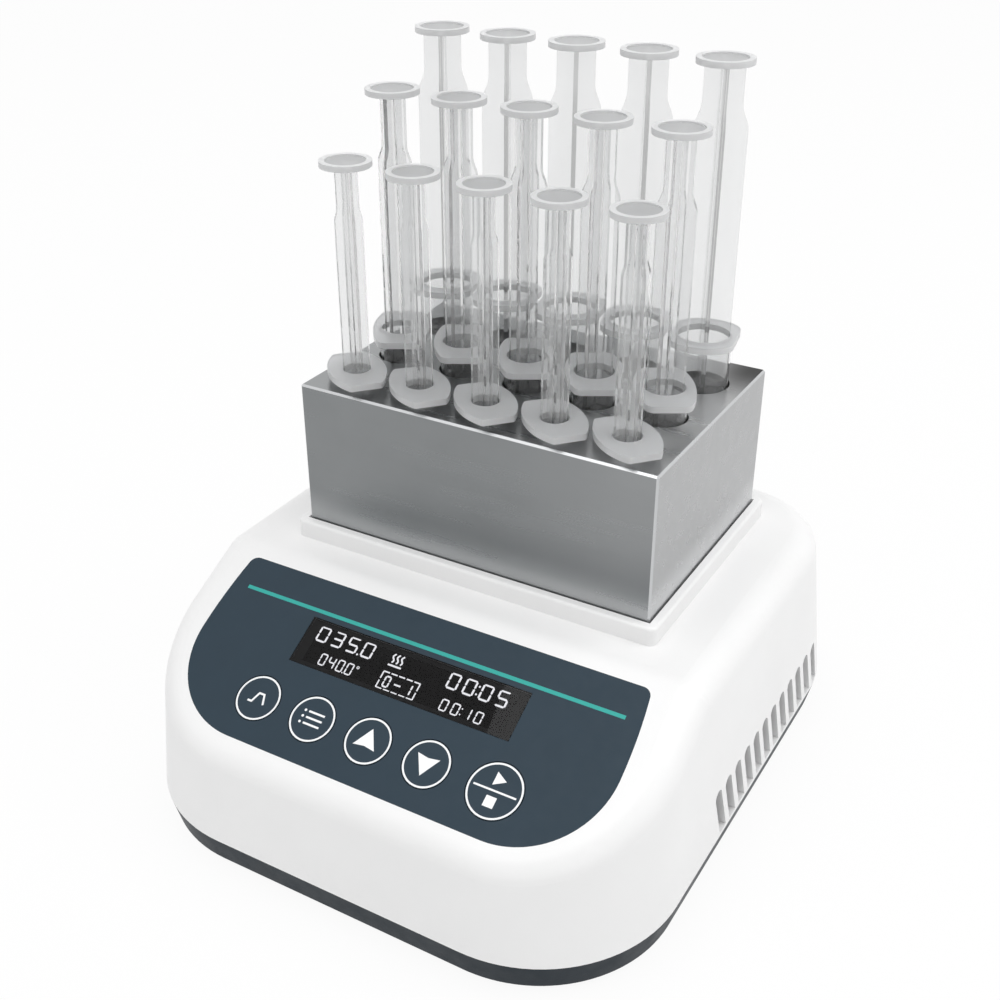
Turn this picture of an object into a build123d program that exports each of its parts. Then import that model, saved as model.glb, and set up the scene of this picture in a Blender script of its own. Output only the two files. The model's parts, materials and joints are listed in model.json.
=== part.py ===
from build123d import *
import os
from collections import namedtuple
from math import cos, pi, radians, sin, tan

# Dry bath incubator with a block for fifteen syringes.
# Millimetres. +Z up, +X to the operator's right, +Y to the rear.
# Origin: on the bench, under the middle of the body.

os.makedirs("parts", exist_ok=True)

# ------------------------------------------------------------------ driving dimensions
# body
SIDE_MARGIN = 27.5          # block side to the body's side at the seam
BODY_CORNER_R = 45.0        # plan radius of the corners at the seam
FRONT_TOP_CORNER_R = 40.0   # the same at the flat top, front pair
BACK_TOP_CORNER_R = 31.0    # and rear pair
WALL = 2.5                  # moulded wall
SIDE_DRAFT = 3.0            # degrees from vertical
FRONT_DRAFT = 8.3
BACK_DRAFT = 22.0
SHOULDER_R = 8.7            # rounding of every upper edge

# base pan and feet
FOOT_H = 2.5                # feet below the pan
FOOT_R = 8.0
FOOT_PLUG_R = 4.0
FOOT_INSET_X = 29.5
FOOT_INSET_Y = 29.0
PAN_H = 9.5                 # pan underside to the seam
PAN_FLOOR = 2.8
PAN_INSET = 2.2             # the pan narrows by this much at its underside
PAN_EDGE_R = 1.2
LIP_H = 3.0                 # locating lip inside the housing
LIP_T = 1.8
LIP_GAP = 0.25

# collar round the block
COLLAR_H = 6.0              # above the flat top
COLLAR_T = 2.7
COLLAR_CORNER_R = 2.5
COLLAR_EDGE_R = 1.0
BLOCK_GAP = 0.5             # free space round the block

# vents
VENT_COUNT = 12
VENT_PITCH = 7.74
VENT_START = -2.2           # first slot's top, from the block's front
VENT_W = 4.8
VENT_TOP = 18.8             # above the seam
VENT_BOTTOM = 1.2
VENT_LEAN = 14.0            # degrees, tops towards the front

# block
BLOCK_VISIBLE = 47.0        # above the collar
BLOCK_FLOOR = 7.0           # metal under the holes
BLOCK_CHAMFER = 0.6
BLOCK_SETBACK = 77.5        # body front (at the seam) to block front
HOLE_DEPTH = 70.0
COLUMN_PITCH = 22.85
COLUMNS = 5
END_MARGIN = 14.3           # outer columns to the block's sides
FRONT_MARGIN = 10.3         # front row to the block's front
FRONT_ROW_PITCH = 24.8      # front row to middle row
BACK_ROW_PITCH = 27.9       # middle row to back row
BACK_MARGIN = 19.0          # back row to the block's back

# control panel
PANEL_TILT = 28.8           # degrees from horizontal
PANEL_SETBACK = 28.9        # block front to the upper edge of the display window
PANEL_DROP = 14.6           # collar top to the same edge
OVERLAY_T = 0.6
OVERLAY_TOP = 12.7          # up the slope from the window's upper edge
OVERLAY_BOTTOM = 43.8       # down the slope
OVERLAY_TOP_HALF_W = 69.6
OVERLAY_HALF_W = 72.0
OVERLAY_BOTTOM_HALF_W = 43.2
OVERLAY_SHOULDER = 14.8     # down the slope, where the lower corner arcs begin
OVERLAY_TOP_R = 3.0
WINDOW_W = 76.0
WINDOW_H = 15.5
WINDOW_T = 1.4
WINDOW_GAP = 0.1
WINDOW_LEDGE = 1.5
KEY_DROP = 29.9             # down the slope
KEY_R = 7.25
START_KEY_R = 8.35
KEY_GAP = 0.3
KEY_FLANGE = 0.8            # the rim that keeps a key under the overlay
KEY_FLANGE_T = 0.75
KEY_PLAY = 0.05
KEY_STEM_R = 1.7
KEY_TRAVEL = 0.4
PROGRAM_KEY_X = -40.4
MENU_KEY_X = -20.5
UP_KEY_X = -0.8
DOWN_KEY_X = 19.0
START_KEY_X = 41.0
LCD_RIM_X = 4.0             # display frame beyond the window
LCD_RIM_Y = 4.25
LCD_T = 6.0
GLASS_GAP = 0.1             # display glass under the window
BOARD_W = 130.0
BOARD_H = 46.0
BOARD_T = 1.6
BOARD_UP = 4.5              # board edge above the window's upper edge
SWITCH_W = 6.2
SWITCH_T = 3.5
SWITCH_BORE_R = 2.0
SWITCH_BORE_DEPTH = 2.8
STEM_END_GAP = 1.0

# heater stack under the block
TRAY_FLOOR = 6.0
TRAY_WALL = 2.2
HEATER_T = 1.5
HEATER_MARGIN = 5.0
INSULATION_T = 8.0
SHIELD_T = 1.0
SHIELD_GAP = 0.2
EAR_W = 14.0
EAR_T = 4.0
EAR_Y = 25.0                # ears either side of the block's middle
EAR_REACH = 10.0            # block side to the ears' screws
CUTOUT_R = 8.0
CUTOUT_FLANGE_R = 11.0
CUTOUT_FLANGE_T = 1.2
CUTOUT_HOLE_GAP = 0.5
CUTOUT_X = 35.0
BLADE_W = 6.3
BLADE_T = 0.8
BLADE_L = 9.0
TAB_L = 5.0                 # solder tabs behind the inlet and the switch
PROBE_R = 2.0
PROBE_L = 30.0
PROBE_TAIL = 6.0
PROBE_TAIL_R = 2.6

# screws and bosses
SCREW_D = 3.0
SCREW_CLEARANCE_D = 3.4
HEAD_D = 5.6
HEAD_H = 2.0
BORE_OVER_HEAD = 0.8
BOSS_R = 4.0
POST_TOP = 8.0              # pan posts end this far above the seam
FRONT_POST_INSET = 13.5     # body side to the posts
FRONT_POST_AHEAD = 22.5     # ahead of the block's front
BACK_POST_INSET = 17.5
BACK_POST_BEHIND = 13.5     # behind the rear ears
SCREW_BITE = 8.0

# power board
POWER_W = 110.0
POWER_D = 70.0
POWER_BEHIND = 6.5          # behind the block's middle
POWER_STANDOFF = 5.0
POWER_POST_INSET = 5.0
MODULE_W = 52.0
MODULE_D = 30.0
MODULE_H = 19.0
MODULE_X = -22.0
MODULE_EDGE = 1.0
STACK_AIR = 3.1             # between the power module and the heat shield
TERMINALS_W = 36.4
TERMINALS_D = 10.0
TERMINALS_H = 11.0
TERMINALS_X = 27.0
TERMINALS_INSET = 8.0       # board edge to the middle of the row
TERMINAL_COUNT = 5
TERMINAL_MOUTH = 5.0
RELAY_W = 19.0
RELAY_D = 15.5
RELAY_H = 15.0
RELAY_INSET = 11.0
SINK_W = 30.0
SINK_D = 14.0
SINK_H = 16.0
SINK_INSET = 12.0
SINK_FINS = 5
SINK_FIN_T = 3.0
SINK_BASE = 3.0

# rear bay with inlet and switch
BAY_W = 84.0
BAY_FLOOR = 3.0             # panel moulding under the bay, on the pan's edge
BAY_H = 35.0
BAY_SETBACK = 17.0          # body back (at the seam) to the bay wall
BAY_GAP = 0.15              # round the panel moulding in the housing
BAY_RIM_W = 2.5             # its rim inside the housing
BAY_RIM_T = 1.6
WIRING_ROOM = 1.6           # solder tabs to the heat shield
INLET_X = 16.0
INLET_W = 31.0
INLET_H = 33.0
FLANGE_T = 2.0
INLET_BODY_DEPTH = 19.0
INLET_BODY_W = 27.4
INLET_BODY_H = 29.4
SOCKET_W = 24.6
SOCKET_H = 16.4
SOCKET_DEPTH = 16.0
SOCKET_UP = 5.8
SOCKET_CHAMFER = 4.0
TAB_PITCH = 8.5
PIN_W = 2.0
PIN_H = 4.0
PIN_L = 13.0
PIN_PITCH = 7.0
DRAWER_W = 22.0
DRAWER_H = 7.4
DRAWER_DEPTH = 14.0
DRAWER_DOWN = 9.6
DRAWER_FACE_W = 24.0
DRAWER_FACE_H = 9.0
DRAWER_FACE_T = 1.8
DRAWER_FACE_R = 1.0
FLANGE_R = 2.0
SLIDE_GAP = 0.15
FUSE_R = 2.6
FUSE_L = 20.0
FUSE_CAP_L = 5.0
FUSE_GLASS_R = 2.34
SWITCH_X = -22.0
SWITCH_FLANGE_W = 15.0
SWITCH_FLANGE_H = 21.0
SWITCH_BODY_W = 13.0
SWITCH_BODY_H = 19.0
SWITCH_BODY_DEPTH = 14.0
SWITCH_FLANGE_R = 1.0
SWITCH_TAB_Z = 5.0          # tabs above and below the middle
ROCKER_W = 9.8
ROCKER_H = 13.2
ROCKER_PROUD = 3.2
ROCKER_DIP = 1.4
ROCKER_BACK = 3.0
ROCKER_GAP = 0.4
ROCKER_PIN_R = 1.2
ROCKER_PIN_GAP = 0.05
ROCKER_PIN_L = 1.0
ROCKER_TILT = 11.0          # degrees either way
PIVOT_IN = 0.2              # pivot ahead of the bay wall

# syringes, common
TIP_R = 2.1
TIP_BORE_R = 0.9
TIP_L = 9.0
BARREL_FLOOR = 1.5
BARREL_FLANGE_T = 2.0
SEAL_H = 7.0
SEAL_GAP = 0.05
GROOVE_W = 1.8
GROOVE_DEPTH = 0.5
RIB_T = 1.3
THUMB_T = 1.7
THUMB_DISH = 0.4

# syringes, front row
F_HOLE_D = 11.4
F_BARREL_D = 10.2
F_BORE_D = 8.6
F_PROUD = 4.6               # flange top above the block
F_SEAL_DEPTH = 14.0         # flange top down to the seal's lower face, drawn out
F_FLANGE_L = 25.2
F_FLANGE_W = 17.6
F_FLANGE_END = 9.6
F_FLANGE_TURN = -42.0
F_FLANGE_CORNER = 1.2
F_STEM_W = 8.3
F_NECK_W = 6.6
F_NECK_L = 11.8
F_FLARE_L = 4.5
F_THUMB_D = 15.3
F_DRAWN = 64.2              # thumb rest above the flange, drawn out
F_RIB_TURN = -35.5

# syringes, middle row
M_HOLE_D = 15.0
M_BARREL_D = 14.0
M_BORE_D = 12.2
M_PROUD = 9.5
M_SEAL_DEPTH = 17.5
M_FLANGE_L = 27.4
M_FLANGE_W = 17.8
M_FLANGE_END = 12.0
M_FLANGE_TURN = -60.0
M_FLANGE_CORNER = 3.0
M_STEM_W = 11.4
M_NECK_W = 8.2
M_NECK_L = 14.6
M_FLARE_L = 6.5
M_THUMB_D = 16.1
M_DRAWN = 74.6
M_RIB_TURN = 1.5

# syringes, back row
B_HOLE_D = 18.0
B_BARREL_D = 17.0
B_BORE_D = 15.8
B_PROUD = 16.2
B_SEAL_DEPTH = 24.5
B_FLANGE_L = 20.2
B_FLANGE_W = 24.6
B_FLANGE_END = 14.0
B_FLANGE_TURN = 11.0
B_FLANGE_CORNER = 5.0
B_STEM_W = 15.5
B_NECK_W = 11.4
B_NECK_L = 10.0
B_FLARE_L = 9.0
B_THUMB_D = 16.5
B_DRAWN = 80.9
B_RIB_TURN = 26.5

# ------------------------------------------------------------------ sizes and places that follow
F_ROW_Y = FRONT_MARGIN               # rows, behind the block's front
M_ROW_Y = F_ROW_Y + FRONT_ROW_PITCH
B_ROW_Y = M_ROW_Y + BACK_ROW_PITCH
BLOCK_W = (COLUMNS - 1) * COLUMN_PITCH + 2 * END_MARGIN
BLOCK_D = B_ROW_Y + BACK_MARGIN
BLOCK_SUNK = HOLE_DEPTH + BLOCK_FLOOR - BLOCK_VISIBLE
BODY_W = BLOCK_W + 2 * SIDE_MARGIN
SHIELD_OUT = BLOCK_GAP + TRAY_WALL + SHIELD_GAP + SHIELD_T     # block side to the shield's outside
BODY_D = BLOCK_SETBACK + BLOCK_D + SHIELD_OUT + WIRING_ROOM + TAB_L + INLET_BODY_DEPTH + BAY_SETBACK
POWER_STACK = PAN_FLOOR + POWER_STANDOFF + BOARD_T + MODULE_H
HEATER_STACK = SHIELD_T + INSULATION_T + HEATER_T + TRAY_FLOOR + BLOCK_SUNK
HOUSING_H = POWER_STACK + STACK_AIR + HEATER_STACK - COLLAR_H - PAN_H
SEAM_Z = FOOT_H + PAN_H
TOP_Z = SEAM_Z + HOUSING_H
COLLAR_Z = TOP_Z + COLLAR_H
FLOOR_Z = FOOT_H + PAN_FLOOR
BLOCK_FRONT = -BODY_D / 2 + BLOCK_SETBACK
BLOCK_MID = BLOCK_FRONT + BLOCK_D / 2
BLOCK_TOP = COLLAR_Z + BLOCK_VISIBLE
BLOCK_BOTTOM = COLLAR_Z - BLOCK_SUNK
HOLE_FLOOR = BLOCK_TOP - HOLE_DEPTH
WELL_W = BLOCK_W + 2 * BLOCK_GAP
WELL_D = BLOCK_D + 2 * BLOCK_GAP
PANEL = Plane(
    origin=(0, BLOCK_FRONT - PANEL_SETBACK, COLLAR_Z - PANEL_DROP),
    x_dir=(1, 0, 0),
    z_dir=(0, -sin(radians(PANEL_TILT)), cos(radians(PANEL_TILT))),
)
TRAY_W = WELL_W + 2 * TRAY_WALL
TRAY_D = WELL_D + 2 * TRAY_WALL
TRAY_BOTTOM = BLOCK_BOTTOM - TRAY_FLOOR
HEATER_BOTTOM = TRAY_BOTTOM - HEATER_T
SHIELD_FLOOR = HEATER_BOTTOM - INSULATION_T
EAR_Z = BLOCK_BOTTOM
EAR_X = BLOCK_W / 2 + EAR_REACH
SHIELD_W = TRAY_W + 2 * SHIELD_GAP
SHIELD_D = TRAY_D + 2 * SHIELD_GAP
LCD_W = WINDOW_W + 2 * LCD_RIM_X
LCD_H = WINDOW_H + 2 * LCD_RIM_Y
BOARD_TOP = -WALL - LCD_T            # on the panel's own normal
FOOT_X = BODY_W / 2 - FOOT_INSET_X
FOOT_Y = BODY_D / 2 - FOOT_INSET_Y
POST_Z = SEAM_Z + POST_TOP
POWER_Z = FLOOR_Z + POWER_STANDOFF
POWER_Y = BLOCK_MID + POWER_BEHIND
BAY_Y = BODY_D / 2 - BAY_SETBACK
BAY_Z = SEAM_Z + BAY_FLOOR
BAY_MID = BAY_Z + BAY_H / 2
PIVOT_Y = BAY_Y + PIVOT_IN
ROCKER_SWEEP = ((ROCKER_H / 2) ** 2 + ROCKER_PROUD ** 2) ** 0.5 + ROCKER_GAP
FRONT_POST = (BODY_W / 2 - FRONT_POST_INSET, BLOCK_FRONT - FRONT_POST_AHEAD)
BACK_POST = (BODY_W / 2 - BACK_POST_INSET, BLOCK_MID + EAR_Y + BACK_POST_BEHIND)
POSTS = [(sx * x, y) for sx in (-1, 1) for x, y in (FRONT_POST, BACK_POST)]
EARS = [(sx * EAR_X, BLOCK_MID + sy * EAR_Y) for sx in (-1, 1) for sy in (-1, 1)]

KEYS = {
    "key_program": (PROGRAM_KEY_X, KEY_R),
    "key_menu": (MENU_KEY_X, KEY_R),
    "key_up": (UP_KEY_X, KEY_R),
    "key_down": (DOWN_KEY_X, KEY_R),
    "key_start_stop": (START_KEY_X, START_KEY_R),
}

Row = namedtuple("Row", "tag y hole_d barrel_d bore_d proud seal_depth flange_l flange_w flange_end flange_corner "
                        "flange_turn stem_w neck_w neck_l flare_l thumb_d drawn rib_turn")
ROWS = (
    Row("f", F_ROW_Y, F_HOLE_D, F_BARREL_D, F_BORE_D, F_PROUD, F_SEAL_DEPTH, F_FLANGE_L, F_FLANGE_W,
        F_FLANGE_END, F_FLANGE_CORNER, F_FLANGE_TURN, F_STEM_W, F_NECK_W, F_NECK_L, F_FLARE_L, F_THUMB_D,
        F_DRAWN, F_RIB_TURN),
    Row("m", M_ROW_Y, M_HOLE_D, M_BARREL_D, M_BORE_D, M_PROUD, M_SEAL_DEPTH, M_FLANGE_L, M_FLANGE_W,
        M_FLANGE_END, M_FLANGE_CORNER, M_FLANGE_TURN, M_STEM_W, M_NECK_W, M_NECK_L, M_FLARE_L, M_THUMB_D,
        M_DRAWN, M_RIB_TURN),
    Row("b", B_ROW_Y, B_HOLE_D, B_BARREL_D, B_BORE_D, B_PROUD, B_SEAL_DEPTH, B_FLANGE_L, B_FLANGE_W,
        B_FLANGE_END, B_FLANGE_CORNER, B_FLANGE_TURN, B_STEM_W, B_NECK_W, B_NECK_L, B_FLARE_L, B_THUMB_D,
        B_DRAWN, B_RIB_TURN),
)


# ------------------------------------------------------------------ helpers
def save(shape, name):
    """Write one node."""
    export_step(shape, f"parts/{name}.step")


def rod(r, z0, z1, x=0.0, y=0.0):
    """Vertical cylinder between two heights."""
    return Pos(x, y, z0) * Cylinder(r, z1 - z0, align=(Align.CENTER, Align.CENTER, Align.MIN))


def block(w, d, z0, z1, x=0.0, y=0.0):
    """Upright box between two heights."""
    return Pos(x, y, z0) * Box(w, d, z1 - z0, align=(Align.CENTER, Align.CENTER, Align.MIN))


def screw(length):
    """Pan-head screw, head downwards, shank pointing up from z = 0."""
    return rod(HEAD_D / 2, -HEAD_H, 0) + rod(SCREW_D / 2, 0, length)


def rounded(half_w, y_front, y_back, r_front, r_back, z):
    """Plan outline with its own front and rear corner radii."""
    face = Pos(0, (y_front + y_back) / 2, 0) * Rectangle(2 * half_w, y_back - y_front)
    face = fillet(face.vertices().group_by(Axis.Y)[0], r_front)
    face = fillet(face.vertices().group_by(Axis.Y)[-1], r_back)
    return Pos(0, 0, z) * face


def section(z, inset=0.0):
    """The body's outline at a height, drawn in by a wall."""
    rise = z - SEAM_Z
    share = rise / HOUSING_H
    return rounded(
        BODY_W / 2 - rise * tan(radians(SIDE_DRAFT)) - inset,
        -BODY_D / 2 + rise * tan(radians(FRONT_DRAFT)) + inset,
        BODY_D / 2 - rise * tan(radians(BACK_DRAFT)) - inset,
        BODY_CORNER_R + (FRONT_TOP_CORNER_R - BODY_CORNER_R) * share - inset,
        BODY_CORNER_R + (BACK_TOP_CORNER_R - BODY_CORNER_R) * share - inset,
        z,
    )


def on_panel(shape, depth=0.0):
    """Place a shape drawn in panel coordinates, sunk below the panel's face."""
    return PANEL.offset(-depth) * shape


def body_form(z_low, inset=0.0):
    """Drafted body with the sloping panel face and rounded shoulders."""
    form = loft([section(z_low, inset), section(TOP_Z - inset, inset)], ruled=True)
    over = Box(2 * BODY_W, 2 * BODY_D, BODY_D, align=(Align.CENTER, Align.CENTER, Align.MIN))
    form = form - on_panel(over, inset)
    top = form.faces().sort_by(Axis.Z)[-1]
    slope = [f for f in form.faces() if f.normal_at().dot(PANEL.z_dir) > 0.999][0]
    upper = [e for e in top.edges()]
    upper += [e for e in slope.edges() if not any(e.is_same(o) for o in upper)]
    return fillet(upper, SHOULDER_R - inset)


# ------------------------------------------------------------------ housing
def overlay_outline():
    """Membrane outline: bowed sides and large lower corners."""
    corner_r = (OVERLAY_HALF_W - OVERLAY_BOTTOM_HALF_W + OVERLAY_BOTTOM - OVERLAY_SHOULDER) / 2
    mid_x = OVERLAY_HALF_W - corner_r * (1 - cos(pi / 4))
    mid_y = -OVERLAY_BOTTOM + corner_r * (1 - sin(pi / 4))
    bow_x = OVERLAY_HALF_W - (OVERLAY_HALF_W - OVERLAY_TOP_HALF_W) / 4
    low = (OVERLAY_BOTTOM_HALF_W, -OVERLAY_BOTTOM)
    side = (OVERLAY_HALF_W, -OVERLAY_SHOULDER)
    high = (OVERLAY_TOP_HALF_W, OVERLAY_TOP)
    right = [
        ThreePointArc(low, (mid_x, mid_y), side),
        ThreePointArc(side, (bow_x, (OVERLAY_TOP - OVERLAY_SHOULDER) / 2), high),
    ]
    left = [mirror(edge, about=Plane.YZ) for edge in right]
    ends = [Line(low, (-low[0], low[1])), Line(high, (-high[0], high[1]))]
    face = make_face(right + left + ends)
    return fillet(face.vertices().group_by(Axis.Y)[-1], OVERLAY_TOP_R)


def window_rect(grow=0.0):
    """The display window in panel coordinates."""
    return Pos(0, -WINDOW_H / 2) * Rectangle(WINDOW_W + 2 * grow, WINDOW_H + 2 * grow)


def board_screw_points():
    """Panel coordinates of the four control-board screws."""
    x = BOARD_W / 2 - BOSS_R
    return [(sx * x, y) for sx in (-1, 1) for y in (BOARD_UP - BOSS_R, BOARD_UP - BOARD_H + BOSS_R)]


def vent_slots():
    """Leaning slots above the seam, right through both side walls."""
    slots = []
    run = VENT_TOP - VENT_BOTTOM
    lean = run * tan(radians(VENT_LEAN))
    for i in range(VENT_COUNT):
        y = BLOCK_FRONT + VENT_START + i * VENT_PITCH
        h = VENT_W / 2
        outline = make_face([
            Line((y - h + lean, 0), (y + h + lean, 0)),
            Line((y + h + lean, 0), (y + h, run - h)),
            ThreePointArc((y + h, run - h), (y, run), (y - h, run - h)),
            Line((y - h, run - h), (y - h + lean, 0)),
        ])
        plane = Plane(origin=(-BODY_W / 2 - 1, 0, SEAM_Z + VENT_BOTTOM), x_dir=(0, 1, 0), z_dir=(1, 0, 0))
        slots.append(extrude(plane * outline, BODY_W + 2))
    return slots


def upper_housing():
    outer = body_form(SEAM_Z)
    inner = body_form(SEAM_Z - 1, WALL)
    collar_w, collar_d = WELL_W + 2 * COLLAR_T, WELL_D + 2 * COLLAR_T
    collar = block(collar_w, collar_d, TOP_Z - WALL, COLLAR_Z, 0, BLOCK_MID)
    collar = fillet(collar.edges().filter_by(Axis.Z), COLLAR_CORNER_R)
    collar = fillet(collar.faces().sort_by(Axis.Z)[-1].edges(), COLLAR_EDGE_R)
    shell = outer - inner + collar
    for x, y, low in [(*p, POST_Z) for p in POSTS] + [(*p, EAR_Z + EAR_T) for p in EARS]:
        shell += rod(BOSS_R, low, TOP_Z, x, y) & outer
        shell -= rod(SCREW_D / 2, low - 1, low + SCREW_BITE, x, y)
    for x, y in board_screw_points():
        shell += on_panel(Pos(x, y, -(LCD_T + WALL)) * Cylinder(
            BOSS_R - 0.5, LCD_T + WALL / 2, align=(Align.CENTER, Align.CENTER, Align.MIN)))
        shell -= on_panel(Pos(x, y, -(LCD_T + WALL)) * Cylinder(
            SCREW_D / 2, LCD_T, align=(Align.CENTER, Align.CENTER, Align.MIN)))
    shell -= block(WELL_W, WELL_D, BLOCK_BOTTOM, COLLAR_Z + 1, 0, BLOCK_MID)
    shell -= bay_box(WALL + BAY_GAP, SEAM_Z - 1, BAY_Z + BAY_H + WALL + BAY_GAP)
    shell -= on_panel(extrude(overlay_outline(), SHOULDER_R), OVERLAY_T)
    shell -= on_panel(extrude(window_rect(WINDOW_GAP), WINDOW_T), WINDOW_T)
    shell -= on_panel(extrude(window_rect(-WINDOW_LEDGE), 2 * WALL), 2 * WALL)
    for x, r in KEYS.values():
        shell -= on_panel(Pos(x, -KEY_DROP, -2 * WALL) * Cylinder(
            r + KEY_FLANGE + KEY_GAP, 2 * WALL, align=(Align.CENTER, Align.CENTER, Align.MIN)))
    for slot in vent_slots():
        shell -= slot
    return shell


def bay_box(grow, z0, z1):
    """The rear bay's space from its wall outwards, widened all round by grow, between two heights."""
    return block(BAY_W + 2 * grow, BODY_D, z0, z1, 0, BAY_Y - min(grow, WALL) + BODY_D / 2)


def rear_panel():
    """Recessed moulding that carries the inlet and the switch, with a rim behind the housing's sloping wall."""
    tub = bay_box(WALL, SEAM_Z, BAY_Z + BAY_H + WALL) & body_form(SEAM_Z)
    slope = tan(radians(BACK_DRAFT))
    z0, z1 = SEAM_Z + LIP_H + LIP_GAP, BAY_Z + BAY_H + WALL + BAY_RIM_W
    y0 = BODY_D / 2 - WALL - LIP_GAP - (z0 - SEAM_Z) * slope
    y1 = BODY_D / 2 - WALL - LIP_GAP - (z1 - SEAM_Z) * slope
    side = make_face(Polyline((y0, z0), (y1, z1), (y1 - BAY_RIM_T, z1), (y0 - BAY_RIM_T, z0), close=True))
    width = BAY_W + 2 * (WALL + BAY_RIM_W)
    rim = extrude(Plane(origin=(-width / 2, 0, 0), x_dir=(0, 1, 0), z_dir=(1, 0, 0)) * side, width)
    panel = tub + rim - bay_box(0, BAY_Z, BAY_Z + BAY_H)
    panel -= block(INLET_BODY_W + 2 * SLIDE_GAP, 4 * WALL, BAY_MID - INLET_BODY_H / 2 - SLIDE_GAP,
                   BAY_MID + INLET_BODY_H / 2 + SLIDE_GAP, INLET_X, BAY_Y)
    return panel - block(SWITCH_BODY_W + 2 * SLIDE_GAP, 4 * WALL, BAY_MID - SWITCH_BODY_H / 2 - SLIDE_GAP,
                         BAY_MID + SWITCH_BODY_H / 2 + SLIDE_GAP, SWITCH_X, BAY_Y)


def base_pan():
    low = rounded(BODY_W / 2 - PAN_INSET, -BODY_D / 2 + PAN_INSET, BODY_D / 2 - PAN_INSET,
                  BODY_CORNER_R - PAN_INSET, BODY_CORNER_R - PAN_INSET, FOOT_H)
    pan = loft([low, section(SEAM_Z)], ruled=True)
    pan = fillet(pan.faces().sort_by(Axis.Z)[0].edges(), PAN_EDGE_R)
    lip_z = SEAM_Z + LIP_H
    lip = Pos(0, 0, FLOOR_Z - lip_z) * section(lip_z, WALL + LIP_GAP)
    pocket = Pos(0, 0, FLOOR_Z - lip_z) * section(lip_z, WALL + LIP_GAP + LIP_T)
    pan = pan + extrude(lip, lip_z - FLOOR_Z) - extrude(pocket, lip_z - FLOOR_Z + 1)
    pan -= block(BAY_W + 2 * (WALL + LIP_GAP), BODY_D, SEAM_Z, lip_z + 1, 0, BAY_Y - WALL - LIP_GAP + BODY_D / 2)
    for x, y in POSTS:
        pan += rod(BOSS_R, FOOT_H, POST_Z, x, y)
        pan -= rod(SCREW_CLEARANCE_D / 2, FOOT_H, POST_Z, x, y)
        pan -= rod((HEAD_D + BORE_OVER_HEAD) / 2, FOOT_H - 1, FLOOR_Z, x, y)
    for x, y in power_posts():
        pan += rod(BOSS_R - 1, FLOOR_Z, POWER_Z, x, y)
        pan -= rod(SCREW_D / 2, FLOOR_Z, POWER_Z, x, y)
    for x, y in feet_points():
        pan -= rod(FOOT_PLUG_R, FOOT_H - 1, FOOT_H + PAN_FLOOR / 2, x, y)
    return pan


def feet_points():
    return [(sx * FOOT_X, sy * FOOT_Y) for sx in (-1, 1) for sy in (-1, 1)]


def power_posts():
    x, d = POWER_W / 2 - POWER_POST_INSET, POWER_D / 2 - POWER_POST_INSET
    return [(sx * x, POWER_Y + sy * d) for sx in (-1, 1) for sy in (-1, 1)]


def rubber_feet():
    feet = [rod(FOOT_R, 0, FOOT_H, x, y) + rod(FOOT_PLUG_R, FOOT_H, FOOT_H + PAN_FLOOR / 2, x, y)
            for x, y in feet_points()]
    return Compound(children=feet)


def fasteners():
    items = [Pos(x, y, FLOOR_Z) * screw(POST_Z - FLOOR_Z + SCREW_BITE) for x, y in POSTS]
    items += [Pos(x, y, EAR_Z - SHIELD_T) * screw(SHIELD_T + EAR_T + SCREW_BITE) for x, y in EARS]
    for x, y in power_posts():
        items.append(Pos(x, y, POWER_Z + BOARD_T) * Rot(180, 0, 0) * screw(POWER_STANDOFF + BOARD_T))
    for x, y in board_screw_points():
        items.append(on_panel(Pos(x, y, BOARD_TOP - BOARD_T) * screw(BOARD_T + LCD_T / 2)))
    return Compound(children=items)


# ------------------------------------------------------------------ block and heater
def columns():
    return [(i - (COLUMNS - 1) / 2) * COLUMN_PITCH for i in range(COLUMNS)]


def heating_block():
    body = block(BLOCK_W, BLOCK_D, BLOCK_BOTTOM, BLOCK_TOP, 0, BLOCK_MID)
    body = chamfer(body.edges(), BLOCK_CHAMFER)
    for row in ROWS:
        for x in columns():
            body -= rod(row.hole_d / 2, HOLE_FLOOR, BLOCK_TOP + 1, x, BLOCK_FRONT + row.y)
    return body


def ear(x, y, inner_x, z, thick):
    """Mounting ear from a side wall out past its screw, with the screw's hole."""
    reach = EAR_X + EAR_W / 2 - inner_x
    middle = (inner_x + reach / 2) * (1 if x > 0 else -1)
    return block(reach, EAR_W, z, z + thick, middle, y) - rod(SCREW_D / 2, z - 1, z + thick + 1, x, y)


def well_tray():
    tray = block(TRAY_W, TRAY_D, TRAY_BOTTOM, TOP_Z - WALL, 0, BLOCK_MID)
    tray = fillet(tray.edges().filter_by(Axis.Z), COLLAR_CORNER_R)
    for x, y in EARS:
        tray += ear(x, y, WELL_W / 2, EAR_Z, EAR_T)
    tray -= block(WELL_W, WELL_D, BLOCK_BOTTOM, TOP_Z, 0, BLOCK_MID)
    tray -= probe_bore()
    return tray


def probe_bore():
    y0 = BLOCK_MID + TRAY_D / 2 - PROBE_L
    return Pos(0, y0, TRAY_BOTTOM + TRAY_FLOOR / 2) * Rot(-90, 0, 0) * Cylinder(
        PROBE_R, PROBE_L, align=(Align.CENTER, Align.CENTER, Align.MIN))


def temperature_sensor():
    y1 = BLOCK_MID + TRAY_D / 2
    tail = Pos(0, y1, TRAY_BOTTOM + TRAY_FLOOR / 2) * Rot(-90, 0, 0) * Cylinder(
        PROBE_TAIL_R, PROBE_TAIL, align=(Align.CENTER, Align.CENTER, Align.MIN))
    return probe_bore() + tail


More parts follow.
